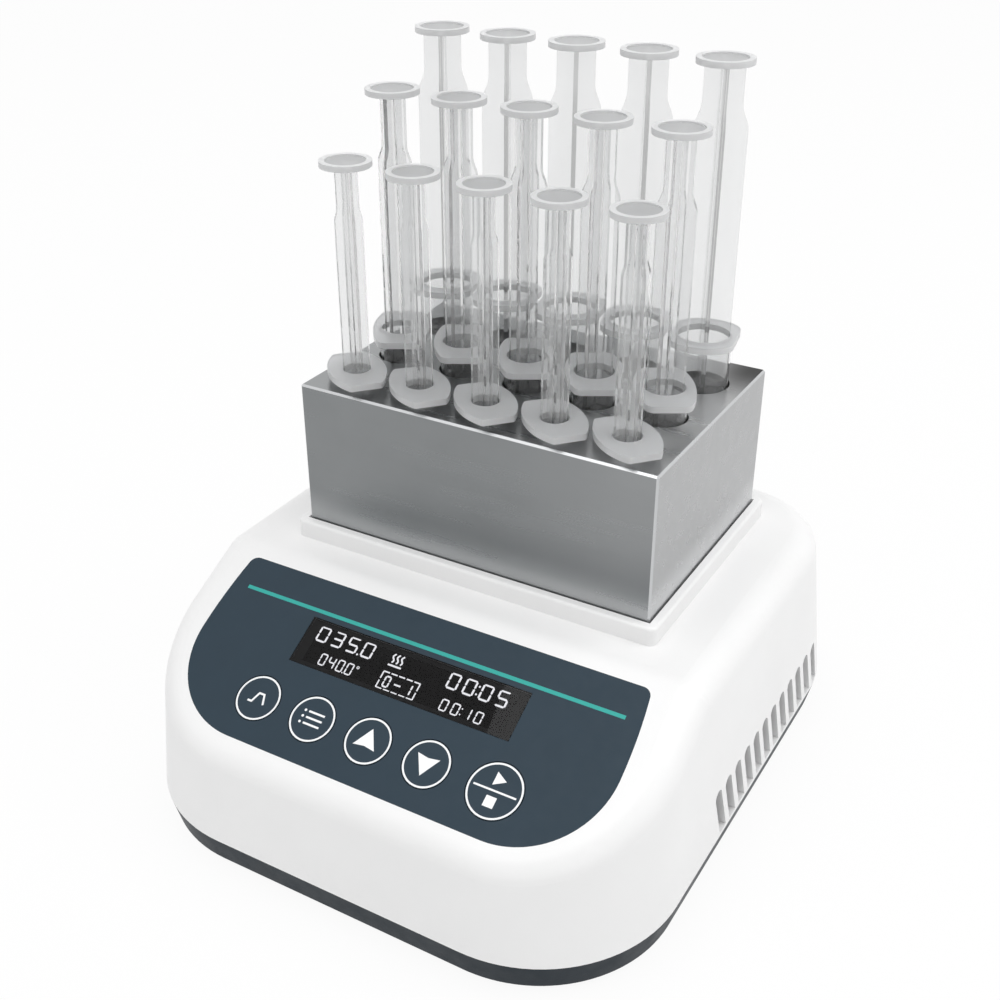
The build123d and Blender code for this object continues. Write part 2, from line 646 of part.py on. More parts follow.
def heating_element():
    mat = block(TRAY_W - 2 * HEATER_MARGIN, TRAY_D - 2 * HEATER_MARGIN, HEATER_BOTTOM, TRAY_BOTTOM, 0, BLOCK_MID)
    return mat - rod(CUTOUT_R + CUTOUT_HOLE_GAP, HEATER_BOTTOM - 1, TRAY_BOTTOM + 1, CUTOUT_X, BLOCK_MID)


def insulation_pad():
    pad = block(SHIELD_W, SHIELD_D, SHIELD_FLOOR, HEATER_BOTTOM, 0, BLOCK_MID)
    pad = fillet(pad.edges().filter_by(Axis.Z), COLLAR_CORNER_R)
    return pad - rod(CUTOUT_R + CUTOUT_HOLE_GAP, SHIELD_FLOOR - 1, HEATER_BOTTOM + 1, CUTOUT_X, BLOCK_MID)


def heat_shield():
    out_w, out_d = SHIELD_W + 2 * SHIELD_T, SHIELD_D + 2 * SHIELD_T
    pan = block(out_w, out_d, SHIELD_FLOOR - SHIELD_T, EAR_Z, 0, BLOCK_MID)
    pan = fillet(pan.edges().filter_by(Axis.Z), COLLAR_CORNER_R + SHIELD_T)
    for x, y in EARS:
        pan += ear(x, y, TRAY_W / 2, EAR_Z - SHIELD_T, SHIELD_T)
    inner = block(SHIELD_W, SHIELD_D, SHIELD_FLOOR, EAR_Z + 1, 0, BLOCK_MID)
    pan -= fillet(inner.edges().filter_by(Axis.Z), COLLAR_CORNER_R)
    pan -= rod(CUTOUT_R + CUTOUT_HOLE_GAP, SHIELD_FLOOR - SHIELD_T - 1, SHIELD_FLOOR + 1, CUTOUT_X, BLOCK_MID)
    tail_r = PROBE_TAIL_R + CUTOUT_HOLE_GAP
    return pan - block(2 * tail_r, 4 * SHIELD_T, TRAY_BOTTOM + TRAY_FLOOR / 2 - tail_r, EAR_Z + 1,
                       0, BLOCK_MID + out_d / 2)


def thermal_cutout():
    z = SHIELD_FLOOR - SHIELD_T
    body = rod(CUTOUT_R, z - CUTOUT_FLANGE_T, TRAY_BOTTOM, CUTOUT_X, BLOCK_MID)
    body += rod(CUTOUT_FLANGE_R, z - CUTOUT_FLANGE_T, z, CUTOUT_X, BLOCK_MID)
    for sx in (-1, 1):
        body += block(BLADE_T, BLADE_W, z - CUTOUT_FLANGE_T - BLADE_L, z - CUTOUT_FLANGE_T,
                      CUTOUT_X + sx * CUTOUT_R / 2, BLOCK_MID)
    return body


# ------------------------------------------------------------------ control panel
def membrane_overlay():
    sheet = extrude(overlay_outline(), OVERLAY_T)
    sheet -= extrude(window_rect(WINDOW_GAP), OVERLAY_T)
    for x, r in KEYS.values():
        sheet -= Pos(x, -KEY_DROP, OVERLAY_T / 2) * Cylinder(r + KEY_GAP, OVERLAY_T)
    return on_panel(sheet, OVERLAY_T)


def display_window():
    return on_panel(extrude(window_rect(), WINDOW_T), WINDOW_T)


def lcd_module():
    """Display: a frame under the wall, and glass that rises through the ledge to just below the window."""
    frame = Pos(0, -WINDOW_H / 2) * Box(LCD_W, LCD_H, LCD_T, align=(Align.CENTER, Align.CENTER, Align.MIN))
    glass = extrude(window_rect(-WINDOW_LEDGE - GLASS_GAP), LCD_T + WALL - WINDOW_T - GLASS_GAP)
    return on_panel(frame + glass, WALL + LCD_T)


def key(x, r):
    """Round key: printed face, retaining rim below the overlay, stem into its switch."""
    rim_top = -OVERLAY_T - KEY_PLAY
    face = Pos(x, -KEY_DROP, rim_top) * Cylinder(r, -rim_top, align=(Align.CENTER, Align.CENTER, Align.MIN))
    rim = Pos(x, -KEY_DROP, rim_top - KEY_FLANGE_T) * Cylinder(
        r + KEY_FLANGE, KEY_FLANGE_T, align=(Align.CENTER, Align.CENTER, Align.MIN))
    tip = BOARD_TOP + SWITCH_T - SWITCH_BORE_DEPTH + STEM_END_GAP
    stem = Pos(x, -KEY_DROP, tip) * Cylinder(KEY_STEM_R, rim_top - tip, align=(Align.CENTER, Align.CENTER, Align.MIN))
    return on_panel(face + rim + stem)


def tact_switches():
    items = []
    for x, _ in KEYS.values():
        body = Pos(x, -KEY_DROP, BOARD_TOP) * Box(
            SWITCH_W, SWITCH_W, SWITCH_T, align=(Align.CENTER, Align.CENTER, Align.MIN))
        body -= Pos(x, -KEY_DROP, BOARD_TOP + SWITCH_T - SWITCH_BORE_DEPTH) * Cylinder(
            SWITCH_BORE_R, SWITCH_BORE_DEPTH, align=(Align.CENTER, Align.CENTER, Align.MIN))
        items.append(on_panel(body))
    return Compound(children=items)


def control_board():
    y = BOARD_UP - BOARD_H / 2
    board = Pos(0, y, BOARD_TOP - BOARD_T) * Box(
        BOARD_W, BOARD_H, BOARD_T, align=(Align.CENTER, Align.CENTER, Align.MIN))
    for px, py in board_screw_points():
        board -= Pos(px, py, BOARD_TOP) * Cylinder(SCREW_D / 2, 4 * BOARD_T)
    chip = Pos(-BOARD_W / 6, y, BOARD_TOP - BOARD_T - BOARD_T) * Box(
        BOARD_H / 4, BOARD_H / 4, BOARD_T, align=(Align.CENTER, Align.CENTER, Align.MIN))
    header = Pos(BOARD_W / 5, y, BOARD_TOP - 5 * BOARD_T) * Box(
        BOARD_W / 6, BOARD_H / 8, 4 * BOARD_T, align=(Align.CENTER, Align.CENTER, Align.MIN))
    return on_panel(board + chip + header)


# ------------------------------------------------------------------ power side
def power_board():
    top = POWER_Z + BOARD_T
    front, back = POWER_Y - POWER_D / 2, POWER_Y + POWER_D / 2
    board = block(POWER_W, POWER_D, POWER_Z, top, 0, POWER_Y)
    for x, y in power_posts():
        board -= rod(SCREW_D / 2, POWER_Z - 1, top + 1, x, y)
    terminals = block(TERMINALS_W, TERMINALS_D, top, top + TERMINALS_H, TERMINALS_X, back - TERMINALS_INSET)
    for i in range(TERMINAL_COUNT):
        x = TERMINALS_X + (i - (TERMINAL_COUNT - 1) / 2) * TERMINALS_W / TERMINAL_COUNT
        terminals -= block(TERMINAL_MOUTH, TERMINALS_D, top + TERMINALS_H / 2, top + TERMINALS_H + 1,
                           x, back - TERMINALS_INSET + TERMINALS_D / 2)
    relay = block(RELAY_W, RELAY_D, top, top + RELAY_H, TERMINALS_X, front + RELAY_INSET)
    sink = block(SINK_W, SINK_D, top, top + SINK_H, MODULE_X, front + SINK_INSET)
    slots = SINK_FINS - 1
    slot_w = (SINK_W - SINK_FINS * SINK_FIN_T) / slots
    for i in range(slots):
        x = MODULE_X + (i - (slots - 1) / 2) * (slot_w + SINK_FIN_T)
        sink -= block(slot_w, 2 * SINK_D, top + SINK_BASE, top + SINK_H + 1, x, front + SINK_INSET)
    return board + terminals + relay + sink


def power_module():
    top = POWER_Z + BOARD_T
    case = block(MODULE_W, MODULE_D, top, top + MODULE_H, MODULE_X, POWER_Y + MODULE_D / 4)
    return chamfer(case.faces().sort_by(Axis.Z)[-1].edges(), MODULE_EDGE)


def flange_plate(w, h, x, r):
    """Rounded face plate on the bay's wall."""
    plate = block(w, FLANGE_T, BAY_MID - h / 2, BAY_MID + h / 2, x, BAY_Y + FLANGE_T / 2)
    return fillet(plate.edges().filter_by(Axis.Y), r)


def inlet_pins():
    """Three contact pins, the earth pin higher, each with its solder tab behind the inlet."""
    z = BAY_MID + SOCKET_UP
    y0, y1 = BAY_Y - INLET_BODY_DEPTH, BAY_Y + FLANGE_T - SOCKET_DEPTH + PIN_L
    pins = []
    for i in (-1, 0, 1):
        low = z if i == 0 else z - PIN_H / 2
        pin = block(PIN_W, y1 - y0, low, low + PIN_H, INLET_X + i * PIN_PITCH, (y0 + y1) / 2)
        pins.append(pin + block(BLADE_W, TAB_L, z - BLADE_T / 2, z + BLADE_T / 2,
                                INLET_X + i * TAB_PITCH, y0 - TAB_L / 2))
    return Compound(children=pins)


def power_inlet():
    body = block(INLET_BODY_W, INLET_BODY_DEPTH, BAY_MID - INLET_BODY_H / 2, BAY_MID + INLET_BODY_H / 2,
                 INLET_X, BAY_Y - INLET_BODY_DEPTH / 2)
    inlet = flange_plate(INLET_W, INLET_H, INLET_X, FLANGE_R) + body
    z = BAY_MID + SOCKET_UP
    front = BAY_Y + FLANGE_T
    socket = block(SOCKET_W, SOCKET_DEPTH, z - SOCKET_H / 2, z + SOCKET_H / 2, INLET_X, front - SOCKET_DEPTH / 2)
    upper = [e for e in socket.edges().filter_by(Axis.Y) if e.center().Z > z]
    inlet -= chamfer(upper, SOCKET_CHAMFER)
    dz = BAY_MID - DRAWER_DOWN
    depth = DRAWER_DEPTH + FLANGE_T + SLIDE_GAP
    inlet -= block(DRAWER_W + 2 * SLIDE_GAP, depth, dz - DRAWER_H / 2 - SLIDE_GAP, dz + DRAWER_H / 2 + SLIDE_GAP,
                   INLET_X, front - depth / 2)
    return inlet - inlet_pins()


def fuse_drawer():
    dz = BAY_MID - DRAWER_DOWN
    front = BAY_Y + FLANGE_T
    body = block(DRAWER_W, DRAWER_DEPTH + FLANGE_T, dz - DRAWER_H / 2, dz + DRAWER_H / 2,
                 INLET_X, front - (DRAWER_DEPTH + FLANGE_T) / 2)
    face = block(DRAWER_FACE_W, DRAWER_FACE_T, dz - DRAWER_FACE_H / 2, dz + DRAWER_FACE_H / 2,
                 INLET_X, front + DRAWER_FACE_T / 2)
    face = fillet(face.edges().filter_by(Axis.Y), DRAWER_FACE_R)
    cradle_y = front - FLANGE_T - DRAWER_DEPTH / 2
    body -= Pos(INLET_X, cradle_y, dz) * Rot(0, 90, 0) * Cylinder(FUSE_R, FUSE_L)
    body -= block(FUSE_L, 2 * FUSE_R, dz, dz + DRAWER_H, INLET_X, cradle_y)
    return body + face


def fuse():
    dz = BAY_MID - DRAWER_DOWN
    cradle_y = BAY_Y - DRAWER_DEPTH / 2
    glass = Pos(INLET_X, cradle_y, dz) * Rot(0, 90, 0) * Cylinder(FUSE_GLASS_R, FUSE_L)
    for sx in (-1, 1):
        cap_x = INLET_X + sx * (FUSE_L - FUSE_CAP_L) / 2
        glass += Pos(cap_x, cradle_y, dz) * Rot(0, 90, 0) * Cylinder(FUSE_R, FUSE_CAP_L)
    return glass


def switch_frame():
    z = BAY_MID
    plate = flange_plate(SWITCH_FLANGE_W, SWITCH_FLANGE_H, SWITCH_X, SWITCH_FLANGE_R)
    body = block(SWITCH_BODY_W, SWITCH_BODY_DEPTH, z - SWITCH_BODY_H / 2, z + SWITCH_BODY_H / 2,
                 SWITCH_X, BAY_Y - SWITCH_BODY_DEPTH / 2)
    frame = plate + body
    mouth = ROCKER_W + 2 * KEY_GAP
    depth = ROCKER_SWEEP + ROCKER_GAP
    frame -= block(mouth, depth + FLANGE_T, z - ROCKER_SWEEP, z + ROCKER_SWEEP,
                   SWITCH_X, BAY_Y + FLANGE_T - (depth + FLANGE_T) / 2)
    frame -= Pos(SWITCH_X, PIVOT_Y, z) * Rot(0, 90, 0) * Cylinder(
        ROCKER_PIN_R + ROCKER_PIN_GAP, mouth + 2 * (ROCKER_PIN_L - KEY_GAP) + 2 * ROCKER_PIN_GAP)
    for i in (-1, 1):
        tab_z = z + i * SWITCH_TAB_Z
        frame += block(BLADE_W, TAB_L, tab_z - BLADE_T / 2, tab_z + BLADE_T / 2,
                       SWITCH_X, BAY_Y - SWITCH_BODY_DEPTH - TAB_L / 2)
    return frame


def rocker():
    """Concave two-faced rocker on two pins, shown tilted to off."""
    h = ROCKER_H / 2
    profile = Polyline((-ROCKER_BACK, -h), (ROCKER_PROUD, -h), (ROCKER_DIP, 0), (ROCKER_PROUD, h),
                       (-ROCKER_BACK, h), close=True)
    plane = Plane(origin=(-ROCKER_W / 2, 0, 0), x_dir=(0, 1, 0), z_dir=(1, 0, 0))
    body = extrude(plane * make_face(profile), ROCKER_W)
    body += Rot(0, 90, 0) * Cylinder(ROCKER_PIN_R, ROCKER_W + 2 * ROCKER_PIN_L)
    return Pos(SWITCH_X, PIVOT_Y, BAY_MID) * Rot(ROCKER_TILT, 0, 0) * body


# ------------------------------------------------------------------ syringes
def flange_face(row):
    """Finger flange: two arcs as long sides, cut off square at the ends."""
    a, b, e = row.flange_l / 2, row.flange_w / 2, row.flange_end / 2
    face = make_face([
        ThreePointArc((a, e), (0, b), (-a, e)), Line((-a, e), (-a, -e)),
        ThreePointArc((-a, -e), (0, -b), (a, -e)), Line((a, -e), (a, e)),
    ])
    return Rot(0, 0, row.flange_turn) * fillet(face.vertices(), row.flange_corner)


def barrel(row):
    z_flange = BLOCK_TOP + row.proud
    z_body = HOLE_FLOOR + TIP_L
    outer = rod(TIP_R, HOLE_FLOOR, z_body) + rod(row.barrel_d / 2, z_body, z_flange)
    outer += Pos(0, 0, z_flange - BARREL_FLANGE_T) * extrude(flange_face(row), BARREL_FLANGE_T)
    outer -= rod(TIP_BORE_R, HOLE_FLOOR - 1, z_body + 1)
    return outer - rod(row.bore_d / 2, z_body + BARREL_FLOOR, z_flange + 1)


def plunger(row):
    z_flange = BLOCK_TOP + row.proud
    z_seal = z_flange - row.seal_depth
    z_top = z_flange + row.drawn
    r = row.bore_d / 2 - SEAL_GAP
    seal = rod(r, z_seal, z_seal + SEAL_H)
    z_groove = z_seal + (SEAL_H - GROOVE_W) / 2
    seal -= rod(r + 1, z_groove, z_groove + GROOVE_W) - rod(r - GROOVE_DEPTH, z_groove, z_groove + GROOVE_W)
    z0, z1 = z_seal + SEAL_H, z_top - THUMB_T
    z_neck = z1 - row.neck_l
    w, n = row.stem_w / 2, row.neck_w / 2
    z_wide, z_bend = z_neck - row.flare_l, z_neck - row.flare_l / 2
    rib = make_face([
        Polyline((-w, z_wide), (-w, z0), (w, z0), (w, z_wide)),
        Bezier((w, z_wide), (w, z_bend), (n, z_bend), (n, z_neck)),
        Polyline((n, z_neck), (n, z1), (-n, z1), (-n, z_neck)),
        Bezier((-n, z_neck), (-n, z_bend), (-w, z_bend), (-w, z_wide)),
    ])
    rib = extrude(Plane.XZ.offset(-RIB_T / 2) * rib, RIB_T)
    stem = Rot(0, 0, row.rib_turn) * (rib + Rot(0, 0, 90) * rib)
    thumb = rod(row.thumb_d / 2, z1, z_top)
    thumb -= rod(row.thumb_d / 2 - THUMB_T, z_top - THUMB_DISH, z_top + 1)
    return seal + stem + thumb


def syringes():
    for row in ROWS:
        b, p = barrel(row), plunger(row)
        for i, x in enumerate(columns(), 1):
            place = Pos(x, BLOCK_FRONT + row.y, 0)
            save(place * b, f"syringe_{row.tag}{i}_barrel")
            save(place * p, f"syringe_{row.tag}{i}_plunger")


# ------------------------------------------------------------------ write the nodes
save(upper_housing(), "upper_housing")
save(rear_panel(), "rear_panel")
save(base_pan(), "base_pan")
save(rubber_feet(), "rubber_feet")
save(fasteners(), "fasteners")
save(heating_block(), "heating_block")
save(well_tray(), "well_tray")
save(temperature_sensor(), "temperature_sensor")
save(heating_element(), "heating_element")
save(insulation_pad(), "insulation_pad")
save(heat_shield(), "heat_shield")
save(thermal_cutout(), "thermal_cutout")
save(membrane_overlay(), "membrane_overlay")
save(display_window(), "display_window")
save(lcd_module(), "lcd_module")
save(control_board(), "control_board")
save(tact_switches(), "tact_switches")
for name, (key_x, key_r) in KEYS.items():
    save(key(key_x, key_r), name)
save(power_board(), "power_board")
save(power_module(), "power_module")
save(power_inlet(), "power_inlet")
save(inlet_pins(), "inlet_pins")
save(fuse_drawer(), "fuse_drawer")
save(fuse(), "fuse")
save(switch_frame(), "switch_frame")
save(rocker(), "rocker")
syringes()
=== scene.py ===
"""Looks, studio light and camera for a dry bath with a block of syringes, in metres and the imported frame."""
import json
import math

import bmesh
import bpy
from mathutils import Matrix, Vector


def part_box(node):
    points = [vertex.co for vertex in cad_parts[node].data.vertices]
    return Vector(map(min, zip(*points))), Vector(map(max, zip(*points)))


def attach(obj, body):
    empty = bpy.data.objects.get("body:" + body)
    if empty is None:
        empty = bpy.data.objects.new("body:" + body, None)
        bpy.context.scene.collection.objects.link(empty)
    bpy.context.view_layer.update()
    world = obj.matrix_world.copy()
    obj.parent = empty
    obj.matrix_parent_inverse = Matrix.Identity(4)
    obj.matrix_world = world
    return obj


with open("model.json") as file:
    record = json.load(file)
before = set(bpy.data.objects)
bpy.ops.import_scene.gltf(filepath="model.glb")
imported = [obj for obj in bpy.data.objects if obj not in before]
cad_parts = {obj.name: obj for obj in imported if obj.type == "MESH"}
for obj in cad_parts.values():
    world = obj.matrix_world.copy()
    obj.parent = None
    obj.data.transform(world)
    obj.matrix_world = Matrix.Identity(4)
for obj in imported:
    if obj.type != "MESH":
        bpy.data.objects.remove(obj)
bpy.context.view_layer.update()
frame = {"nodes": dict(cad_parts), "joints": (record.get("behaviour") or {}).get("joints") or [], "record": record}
nodes = frame["nodes"]
MM = 0.001

# ------------------------------------------------------------------ sizes
# control panel, in its own plane: x right, y up the slope, zero at the middle of the window's upper edge
PANEL_TILT = math.radians(28.8)
TEAL_LINE = (-65.3 * MM, 66.0 * MM, 2.35 * MM, 1.2 * MM)        # left, right, middle, thickness
INK_T = 0.03 * MM

# display window, the gap behind it, and the black border printed on its back
WINDOW_T = 1.4 * MM
WINDOW_H = 15.5 * MM
GLASS_GAP = 0.1 * MM
MASK_INSET = 0.05 * MM
MASK_SIDE_W = 3.3 * MM
MASK_END_H = 1.6 * MM
MASK_Z = (-WINDOW_T + 0.02 * MM, -WINDOW_T + 0.05 * MM)
LIT_Z = (-WINDOW_T - GLASS_GAP * 0.7, -WINDOW_T - GLASS_GAP * 0.3)

# display read-outs: left edge, top edge, digit width, digit height, pitch, stroke
BIG_LEFT = (-34.0 * MM, -1.9 * MM, 3.85 * MM, 5.2 * MM, 5.47 * MM, 0.6 * MM)
SMALL_LEFT = (-29.0 * MM, -10.0 * MM, 2.35 * MM, 3.95 * MM, 3.2 * MM, 0.42 * MM)
BIG_RIGHT = (12.55 * MM, -1.95 * MM, 3.7 * MM, 5.25 * MM, 5.43 * MM, 0.6 * MM)
SMALL_RIGHT = (13.9 * MM, -10.35 * MM, 2.45 * MM, 3.8 * MM, 3.85 * MM, 0.42 * MM)
STEP_DIGIT = (-6.1 * MM, -9.7 * MM, 2.2 * MM, 3.8 * MM, 7.5 * MM, 0.5 * MM)
DISPLAY_SHIFT = (-0.47 * MM, 0.46 * MM)                           # the window's refraction, undone

# display marks: dashed box and hyphen round the step number, heat sign, small ring of the degree sign
STEP_BOX = (-7.5 * MM, 5.2 * MM, -14.15 * MM, -8.75 * MM)         # left, right, bottom, top
STEP_BOX_LINE = 0.42 * MM
DASH = 1.9 * MM
DASH_GAP = 0.6 * MM
HYPHEN = (-2.4 * MM, -0.2 * MM)                                   # left, right
SIGN_LINE = 0.5 * MM
HEAT_ICON = (-5.25 * MM, -4.05 * MM)                              # middle of its three waves
WAVE_PITCH = 1.5 * MM
WAVE_W = 0.36 * MM
WAVE_H = 2.9 * MM
WAVE_STEPS = 16
HEAT_BAR_Y = -6.4 * MM
HEAT_BAR_HALF_W = 2.3 * MM
HEAT_BAR_LINE = 0.55 * MM
DEGREE_AT = (-15.8 * MM, -10.6 * MM)
DEGREE_RADII = (0.48 * MM, 0.25 * MM)

# keys: distance below the window's edge, ring, and the symbols inside it
KEY_DROP = 29.9 * MM
KEY_FLANGE = 0.8 * MM
RING_LINE = 0.55 * MM
RING_INSET = 0.12 * MM
ICON_LINE = 0.62 * MM
ARROW_W = 7.3 * MM
ARROW_H = 6.1 * MM
ARROW_NOTCH = 0.55 * MM
ARROW_LEFT = 0.3 * MM
ARROW_UP_RISE = 0.8 * MM
ARROW_DOWN_DROP = 0.7 * MM
PROFILE = ((-3.0, -1.6), (-1.6, -1.6), (-0.4, 1.5), (1.4, 1.5), (2.6, -1.6))   # millimetres
MENU_PITCH = 1.9 * MM
MENU_BAR = (-2.2 * MM, 3.4 * MM)                                  # left, right
MENU_DOT_X = -3.4 * MM
MENU_DOT_R = 0.42 * MM
DIVIDER_W = 13.4 * MM
DIVIDER_LINE = 0.55 * MM
START_Y = 3.4 * MM
START_X = (-1.5 * MM, 2.1 * MM)                                   # back and tip of the triangle
START_HALF_H = 2.0 * MM
STOP_Y = -3.3 * MM
STOP_HALF = 1.6 * MM

# power switch: resting tilt of the rocker, its dip in the middle and its proud ends, and the two marks
ROCKER_TILT = math.radians(11.0)
ROCKER_DIP = 1.4 * MM
ROCKER_PROUD = 3.2 * MM
ROCKER_HALF_H = 6.6 * MM
OFF_RADII = (1.5 * MM, 1.1 * MM)
ON_HALF = (0.2 * MM, 1.5 * MM)                                    # half width, half height

# syringes and block: what the finishes need to know of their shape, and how far the block's painted collar
# reflection and painted chamfer highlights reach
THUMB_T = 1.7 * MM
FLANGE_T = 2.0 * MM
RIM_DEPTH = 0.15 * MM
FROST_EDGE = 0.1 * MM
PAINTED_REFLECTION_H = 12.0 * MM
CHAMFER_HIGHLIGHT_REACH = 2.0 * MM
CHAMFER_HIGHLIGHT_FULL = 1.5 * MM

# studio
FLOOR_SIZE = 6.0
FLOOR_GREY = 0.85
FLOOR_GLOW_SHARE = 0.93
SKY_SEEN = 1.0
SKY_LIGHT = 0.72
DISPLAY_GLOW = 4.0
LAMP_AIM = (0, 0, 0.1)

# camera, as far from the object as the photograph's perspective says
CAMERA_AT = (0.18116, -0.32047, 0.29961)
CAMERA_AZIMUTH = math.radians(30.0)
CAMERA_ELEVATION = math.radians(29.53)
CAMERA_LENS = 48.303


# ------------------------------------------------------------------ materials
def rgb(r, g, b):
    """Linear colour from eight-bit display values."""
    return tuple(((c / 255 + 0.055) / 1.055) ** 2.4 if c > 10 else c / 255 / 12.92 for c in (r, g, b))


def shade(color, factor):
    return tuple(c * factor for c in color)


SLATE = rgb(38, 55, 67)
BLACK = rgb(30, 30, 32)
# block: BLOCK_FRONT is the metal's own colour; the five after it are painted light: paler ends and top, a painted
# dark reflection, a painted collar reflection and painted chamfer highlights
BLOCK_FRONT = (0.25, 0.26, 0.265)
BLOCK_PAINTED_SIDE_LIGHT = (0.42, 0.425, 0.43)
BLOCK_PAINTED_TOP_LIGHT = (0.62, 0.625, 0.63)
BLOCK_PAINTED_DARK_REFLECTION = (0.02, 0.02, 0.02)
BLOCK_PAINTED_COLLAR_REFLECTION = (0.90, 0.91, 0.92)
BLOCK_PAINTED_CHAMFER_HIGHLIGHT = (0.58, 0.59, 0.60)
CLEAR = (0.975, 0.978, 0.98)
CLEAR_SPOTS = (0.955, 0.96, 0.962)
CLEAR_DEPTH_TONE = (0.5, 0.5, 0.5)
CLEAR_DENSITY = 85.0
THUMB_FROST = (0.52, 0.525, 0.53)
FLANGE_FROST = (0.74, 0.75, 0.76)
# painted highlight on the outer edges and raised rims of clear pieces
PAINTED_RIM_HIGHLIGHT = (0.86, 0.865, 0.87)
FROST_BODY = 0.5               # how much of the light a frosted zone no longer lets through
FROST_ROUGHNESS = 0.3
BARREL_IOR = 1.4
BARREL_CLARITY = 0.97
PLUNGER_IOR = 1.2
PLUNGER_CLARITY = 0.88


class Finish:
    """A Principled material with procedural detail in object coordinates."""

    def __init__(self, name, color, roughness, metallic=0.0, **more):
        self.mat = bpy.data.materials.new(name)
        self.mat.use_nodes = True
        self.tree = self.mat.node_tree
        self.shader = self.tree.nodes["Principled BSDF"]
        self.coords = self.tree.nodes.new("ShaderNodeTexCoord").outputs
        self.color = color
        self.spots = color
        self.put("Base Color", (*color, 1.0))
        self.put("Roughness", roughness)
        self.put("Metallic", metallic)
        for key, value in more.items():
            self.put(key.replace("_", " "), value)

    def put(self, socket, value):
        self.shader.inputs[socket].default_value = value

    def link(self, out, into):
        self.tree.links.new(out, into)
        return self

    def math(self, operation, a, b=0.0):
        """One arithmetic step on outputs or plain numbers."""
        node = self.tree.nodes.new("ShaderNodeMath")
        node.operation = operation
        for socket, value in zip(node.inputs, (a, b)):
            if isinstance(value, (int, float)):
                socket.default_value = value
            else:
                self.link(value, socket)
        return node.outputs[0]

    def axis(self, name, space="Object"):
        """One coordinate of the point, or of its normal, in the object's own axes."""
        split = self.tree.nodes.new("ShaderNodeSeparateXYZ")
        self.link(self.coords[space], split.inputs[0])
        return split.outputs[name]

    def ramp(self, fac, start, end, low=0.0, high=1.0, shape="SMOOTHSTEP"):
        """Change from low to high while fac goes from start to end."""
        node = self.tree.nodes.new("ShaderNodeMapRange")
        node.interpolation_type = shape
        for key, value in zip(("From Min", "From Max", "To Min", "To Max"), (start, end, low, high)):
            node.inputs[key].default_value = value
        self.link(fac, node.inputs["Value"])
        return node.outputs["Result"]

    def noise(self, size, stretch=(1, 1, 1), detail=3.0):
        """Noise whose grain is about size metres, drawn out along the axes by stretch."""
        place = self.tree.nodes.new("ShaderNodeMapping")
        place.inputs["Scale"].default_value = [1 / (size * s) for s in stretch]
        self.link(self.coords["Object"], place.inputs["Vector"])
        tex = self.tree.nodes.new("ShaderNodeTexNoise")
        tex.inputs["Scale"].default_value = 1.0
        tex.inputs["Detail"].default_value = detail
        self.link(place.outputs["Vector"], tex.inputs["Vector"])
        return tex.outputs["Fac"]

    def spread(self, fac, low, high):
        """Noise values stretched over low to high."""
        return self.ramp(fac, 0.3, 0.7, low, high, "LINEAR")

    def times(self, a, b):
        return self.math("MULTIPLY", a, b)

    def rough(self, fac, low, high):
        return self.link(self.spread(fac, low, high), self.shader.inputs["Roughness"])

    def blend(self, mask, first, other):
        """Base colour that goes from first to other with the mask. Each is an output or a plain colour."""
        node = self.tree.nodes.new("ShaderNodeMix")
        node.data_type = "RGBA"
        sockets = [i for i in node.inputs if i.type == "RGBA"]
        for socket, value in zip(sockets, (first, other)):
            if isinstance(value, tuple):
                socket.default_value = (*value, 1.0)
            else:
                self.link(value, socket)
        self.link(mask, node.inputs[0])
        out = next(o for o in node.outputs if o.type == "RGBA")
        self.link(out, self.shader.inputs["Base Color"])
        return out

    def tint(self, fac, other):
        """Vary the colour towards another."""
        self.spots = self.blend(self.spread(fac, 0.0, 1.0), self.color, other)
        return self

    def absorb(self, grey, density):
        """Darken what is seen through the body, by how deep it is."""
        node = self.tree.nodes.new("ShaderNodeVolumeAbsorption")
        node.inputs["Color"].default_value = (*grey, 1.0)
        node.inputs["Density"].default_value = density
        return self.link(node.outputs[0], self.tree.nodes["Material Output"].inputs["Volume"])

    def bump(self, fac, height, strength=1.0):
        node = self.tree.nodes.new("ShaderNodeBump")
        node.inputs["Strength"].default_value = strength
        node.inputs["Distance"].default_value = height
        self.link(fac, node.inputs["Height"])
        return self.link(node.outputs["Normal"], self.shader.inputs["Normal"])


def housing_white():
    f = Finish("housing_white", rgb(239, 239, 239), 0.33)
    f.tint(f.noise(0.04), rgb(236, 236, 236))
    f.rough(f.noise(0.012), 0.30, 0.37)
    return f.bump(f.noise(0.0004, detail=2), 0.00002, 0.35)


def textured_plastic(name, color, roughness=0.5, grain=0.0005, height=0.00003, specular=0.3):
    f = Finish(name, color, roughness, Specular_IOR_Level=specular)
    f.tint(f.noise(0.02), shade(color, 0.88))
    f.rough(f.noise(0.006), roughness - 0.05, roughness + 0.06)
    return f.bump(f.noise(grain, detail=2), height, 0.5)


def rubber(name, color):
    f = Finish(name, color, 0.85)
    f.tint(f.noise(0.004), shade(color, 1.5))
    return f.bump(f.noise(0.0006), 0.00008, 0.6)


def metal(name, color, roughness, stretch, grain=0.0002, height=0.000004):
    f = Finish(name, color, roughness, 1.0)
    f.tint(f.noise(0.015, detail=5), shade(color, 0.93))
    f.rough(f.noise(grain * 2, stretch), roughness - 0.04, roughness + 0.05)
    return f.bump(f.noise(grain, stretch, detail=4), height, 0.5)


